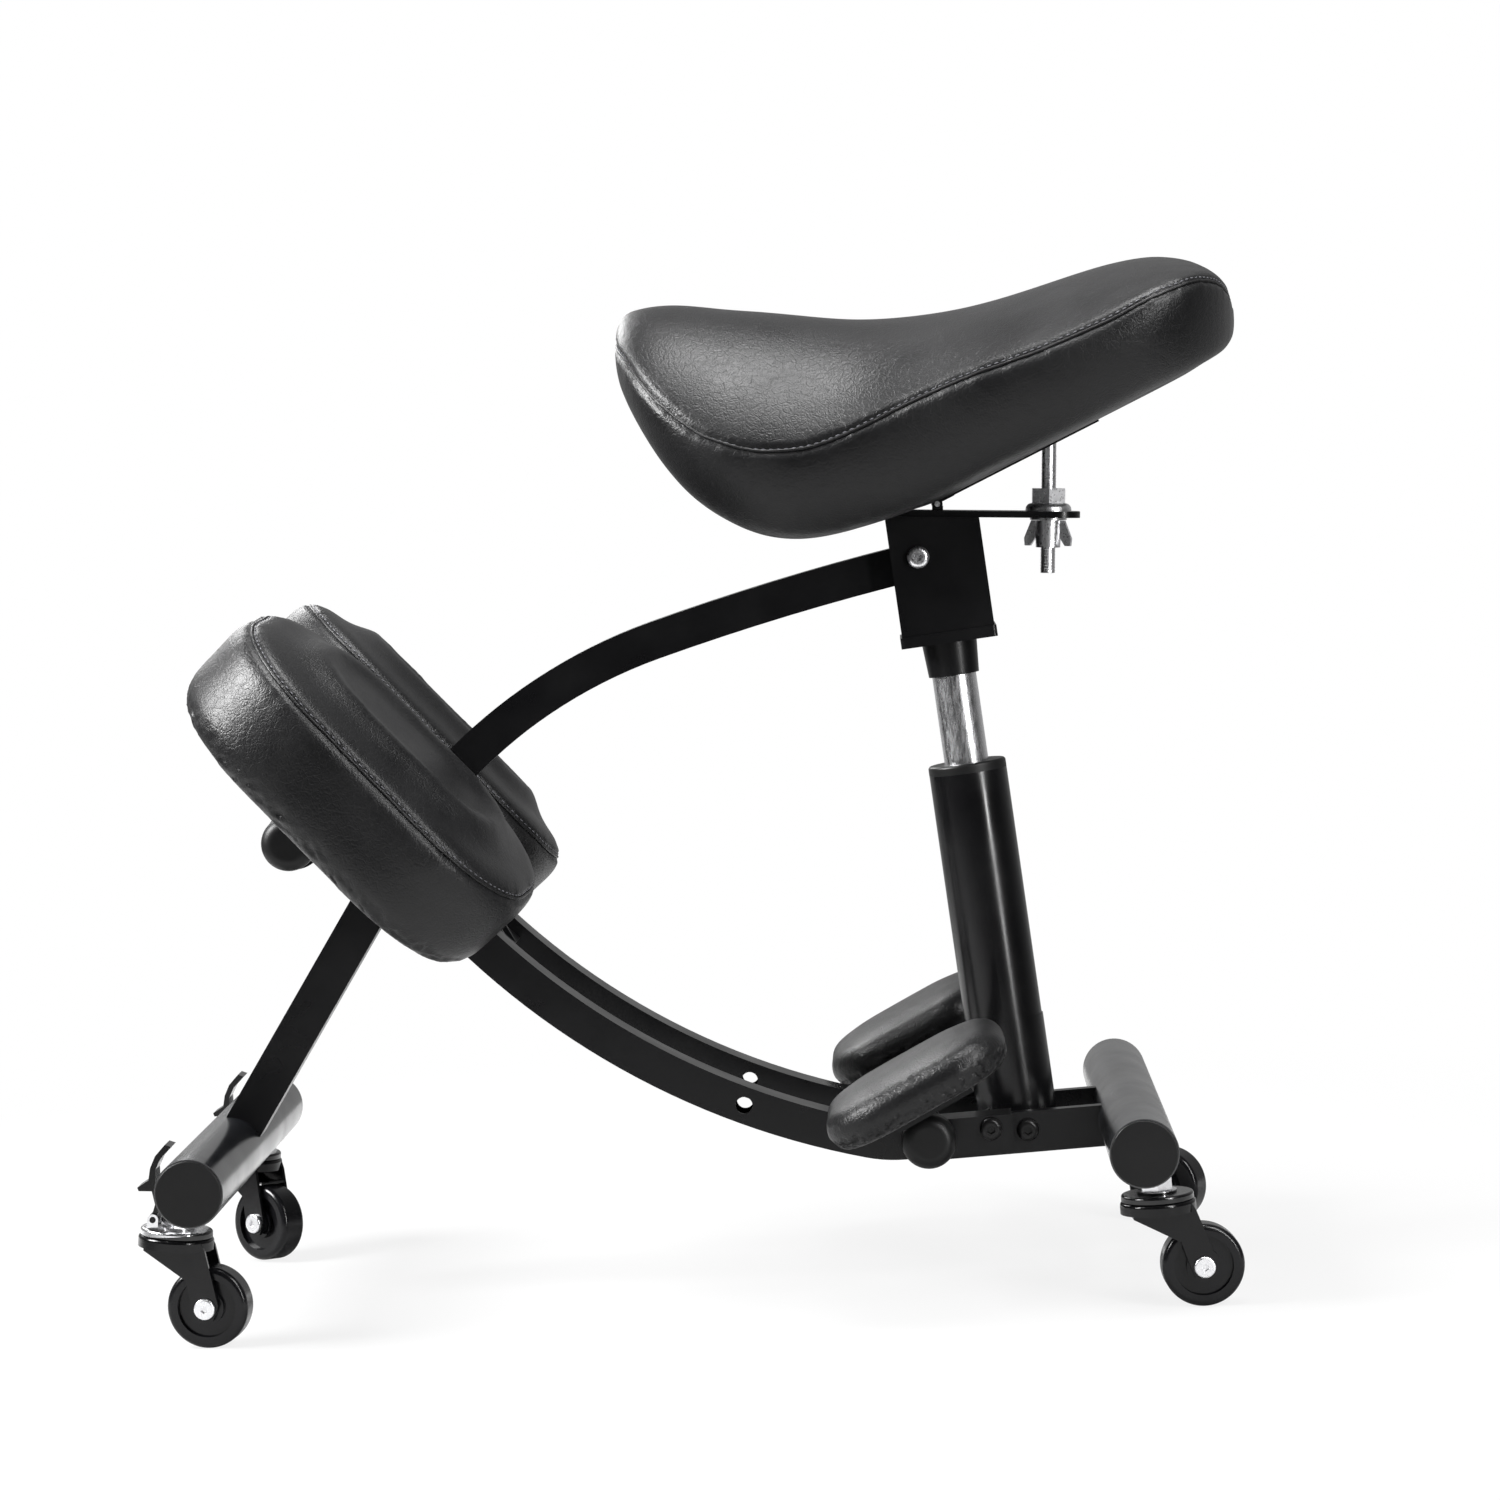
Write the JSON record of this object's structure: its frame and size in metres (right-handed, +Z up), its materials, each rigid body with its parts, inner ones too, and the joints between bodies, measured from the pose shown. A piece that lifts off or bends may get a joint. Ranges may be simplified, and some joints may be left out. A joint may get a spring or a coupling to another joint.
{
  "type": "kneeling chair",
  "caption": "Kneeling chair: saddle seat on a gas column, angled knee pads and ankle pads on a low black tube frame, rolling on swivel casters.",
  "frame": {"origin": "on the floor, midway between the ends and the sides of the whole chair", "axes": "+X to the sitter's left, +Y from the knee pads to the seat's rear, +Z up"},
  "size_m": [0.421, 0.6943, 0.6352],
  "materials": {
    "grey_gloss": "smooth glossy black paint that mirrors the room as silver grey",
    "black_steel": "satin black powder coat",
    "black_gloss": "glossy black paint on the column",
    "black_bolts": "black plated bolts and stems",
    "bright_steel": "bright plated steel",
    "black_plastic": "fine grained black moulding",
    "caster_black": "glossy black pressed steel",
    "wheel_black": "glossy black hard wheel",
    "plywood": "bare birch plywood",
    "black_leather": "black grained upholstery over foam, double stitched seam"
  },
  "bodies": {
    "frame": {"front_crossbar": "grey_gloss", "rear_crossbar": "grey_gloss", "crossbar_end_caps": "black_plastic", "front_leg": "black_steel", "rail_left": "black_steel", "rail_right": "black_steel", "rail_end_plugs": "black_plastic", "rail_bridge": "black_steel", "rear_plates": "black_steel", "hub_plates": "black_steel", "frame_bolts": "black_bolts", "knee_cross_tube": "black_steel", "ankle_cross_rod": "bright_steel", "caster_stems": "black_bolts"},
    "curved_bar": {"arc_bar": "black_steel"},
    "column": {"column_foot": "black_gloss", "column_tube": "black_gloss", "column_top_ring": "black_plastic"},
    "lift": {"gas_piston": "bright_steel", "piston_socket": "black_steel", "seat_box": "black_steel", "seat_box_bolt": "bright_steel", "seat_plate": "black_steel", "tilt_nut_and_washers": "bright_steel"},
    "valve": {"valve_pin": "bright_steel"},
    "lever": {"release_lever": "black_steel"},
    "wing": {"wing_nut": "bright_steel"},
    "seat": {"seat_hinge_leaf": "black_steel", "seat_hinge_pin": "bright_steel", "tilt_rod": "bright_steel", "seat_board": "plywood", "seat_cushion": "black_leather"},
    "knee_left": {"knee_bracket_left": "black_steel", "knee_board_left": "plywood", "knee_cushion_left": "black_leather"},
    "knee_right": {"knee_bracket_right": "black_steel", "knee_board_right": "plywood", "knee_cushion_right": "black_leather"},
    "knee_knob_l": {"knee_knob_left": "black_plastic"},
    "knee_knob_r": {"knee_knob_right": "black_plastic"},
    "ankles": {"ankle_brackets": "black_steel", "ankle_boards": "plywood", "ankle_cushion_left": "black_leather", "ankle_cushion_right": "black_leather"},
    "ankle_knob_l": {"ankle_knob_left": "black_plastic"},
    "ankle_knob_r": {"ankle_knob_right": "black_plastic"},
    "swivel_front_left": {"fork_front_left": "caster_black", "axle_front_left": "bright_steel"},
    "wheel_front_left_body": {"wheel_front_left": "wheel_black"},
    "swivel_front_right": {"fork_front_right": "caster_black", "axle_front_right": "bright_steel"},
    "wheel_front_right_body": {"wheel_front_right": "wheel_black"},
    "swivel_rear_left": {"fork_rear_left": "caster_black", "axle_rear_left": "bright_steel"},
    "wheel_rear_left_body": {"wheel_rear_left": "wheel_black"},
    "swivel_rear_right": {"fork_rear_right": "caster_black", "axle_rear_right": "bright_steel"},
    "wheel_rear_right_body": {"wheel_rear_right": "wheel_black"},
    "brake_front_left": {"brake_lever_front_left": "caster_black"},
    "brake_front_right": {"brake_lever_front_right": "caster_black"}
  },
  "joints": [
    {"name": "column_tilt", "type": "hinge", "parent": "frame", "child": "column", "pos_m": [0, 0.1995, 0.094], "axis": [1, 0, 0], "range_deg": [-2.4, 3.5]},
    {"name": "bar_tilt", "type": "hinge", "parent": "frame", "child": "curved_bar", "pos_m": [0, -0.1816, 0.3018], "axis": [1, 0, 0], "range_deg": [-6.8, 10.1]},
    {"name": "seat_lift", "type": "slide", "parent": "column", "child": "lift", "axis": [0, -0.0976, 0.9952], "range_m": [-0.04, 0.06]},
    {"name": "valve_press", "type": "slide", "parent": "lift", "child": "valve", "axis": [0, 0.0976, -0.9952], "range_m": [0, 0.0032]},
    {"name": "lever_lift", "type": "hinge", "parent": "lift", "child": "lever", "pos_m": [-0.02775, 0.16171, 0.42921], "axis": [0, 0.9952, 0.0976], "range_deg": [0, 5.4], "stiffness_Nm_per_rad": 0.8, "springref_deg": -6.88},
    {"name": "wing_nut_turn", "type": "hinge", "parent": "lift", "child": "wing", "pos_m": [0, 0.2304, 0.47652], "axis": [0, 0.0558, 0.9984], "continuous": true},
    {"name": "seat_tilt", "type": "hinge", "parent": "lift", "child": "seat", "pos_m": [0, 0.1605, 0.4886], "axis": [1, 0, 0], "range_deg": [-3.4, 3.4]},
    {"name": "knee_tilt_left", "type": "hinge", "parent": "frame", "child": "knee_left", "pos_m": [0.118, -0.2505, 0.2985], "axis": [1, 0, 0], "range_deg": [-3, 3]},
    {"name": "knee_tilt_right", "type": "hinge", "parent": "frame", "child": "knee_right", "pos_m": [-0.118, -0.2505, 0.2985], "axis": [1, 0, 0], "range_deg": [-3, 3]},
    {"name": "knee_knob_turn_left", "type": "hinge", "parent": "frame", "child": "knee_knob_l", "pos_m": [0.08, -0.2505, 0.2985], "axis": [1, 0, 0], "continuous": true},
    {"name": "knee_knob_turn_right", "type": "hinge", "parent": "frame", "child": "knee_knob_r", "pos_m": [-0.08, -0.2505, 0.2985], "axis": [-1, 0, 0], "continuous": true},
    {"name": "ankle_tilt", "type": "hinge", "parent": "frame", "child": "ankles", "pos_m": [0, 0.137, 0.096], "axis": [1, 0, 0], "range_deg": [-10, 12]},
    {"name": "ankle_knob_turn_left", "type": "hinge", "parent": "frame", "child": "ankle_knob_l", "pos_m": [0.08, 0.137, 0.096], "axis": [1, 0, 0], "continuous": true},
    {"name": "ankle_knob_turn_right", "type": "hinge", "parent": "frame", "child": "ankle_knob_r", "pos_m": [-0.08, 0.137, 0.096], "axis": [-1, 0, 0], "continuous": true},
    {"name": "swivel_front_left", "type": "hinge", "parent": "frame", "child": "swivel_front_left", "pos_m": [0.15, -0.3276, 0.02792], "axis": [0, 0.1219, 0.9925], "continuous": true},
    {"name": "roll_front_left", "type": "hinge", "parent": "swivel_front_left", "child": "wheel_front_left_body", "pos_m": [0.15251, -0.30391, 0.02502], "axis": [0.9945, -0.1038, 0.0127], "continuous": true},
    {"name": "swivel_front_right", "type": "hinge", "parent": "frame", "child": "swivel_front_right", "pos_m": [-0.15, -0.3276, 0.02792], "axis": [0, 0.1219, 0.9925], "continuous": true},
    {"name": "roll_front_right", "type": "hinge", "parent": "swivel_front_right", "child": "wheel_front_right_body", "pos_m": [-0.13522, -0.30883, 0.02562], "axis": [0.788, -0.6111, 0.075], "continuous": true},
    {"name": "swivel_rear_left", "type": "hinge", "parent": "frame", "child": "swivel_rear_left", "pos_m": [0.15, 0.27458, 0.02416], "axis": [0, -0.0349, 0.9994], "continuous": true},
    {"name": "roll_rear_left", "type": "hinge", "parent": "swivel_rear_left", "child": "wheel_rear_left_body", "pos_m": [0.14874, 0.29853, 0.025], "axis": [0.9986, 0.0523, 0.0018], "continuous": true},
    {"name": "swivel_rear_right", "type": "hinge", "parent": "frame", "child": "swivel_rear_right", "pos_m": [-0.15, 0.27458, 0.02416], "axis": [0, -0.0349, 0.9994], "continuous": true},
    {"name": "roll_rear_right", "type": "hinge", "parent": "swivel_rear_right", "child": "wheel_rear_right_body", "pos_m": [-0.13873, 0.29576, 0.0249], "axis": [0.8829, -0.4692, -0.0164], "continuous": true},
    {"name": "brake_front_left", "type": "hinge", "parent": "frame", "child": "brake_front_left", "pos_m": [0.15, -0.33479, 0.08019], "axis": [1, 0, 0], "range_deg": [-3, 12]},
    {"name": "brake_front_right", "type": "hinge", "parent": "frame", "child": "brake_front_right", "pos_m": [-0.15, -0.33479, 0.08019], "axis": [1, 0, 0], "range_deg": [-3, 12]}
  ],
  "couplings": [
    {"joint": "column_tilt", "follows": "seat_lift", "rad_per_m": 0.989},
    {"joint": "bar_tilt", "follows": "seat_lift", "rad_per_m": 2.891},
    {"joint": "valve_press", "follows": "lever_lift", "m_per_rad": 0.033}
  ]
}
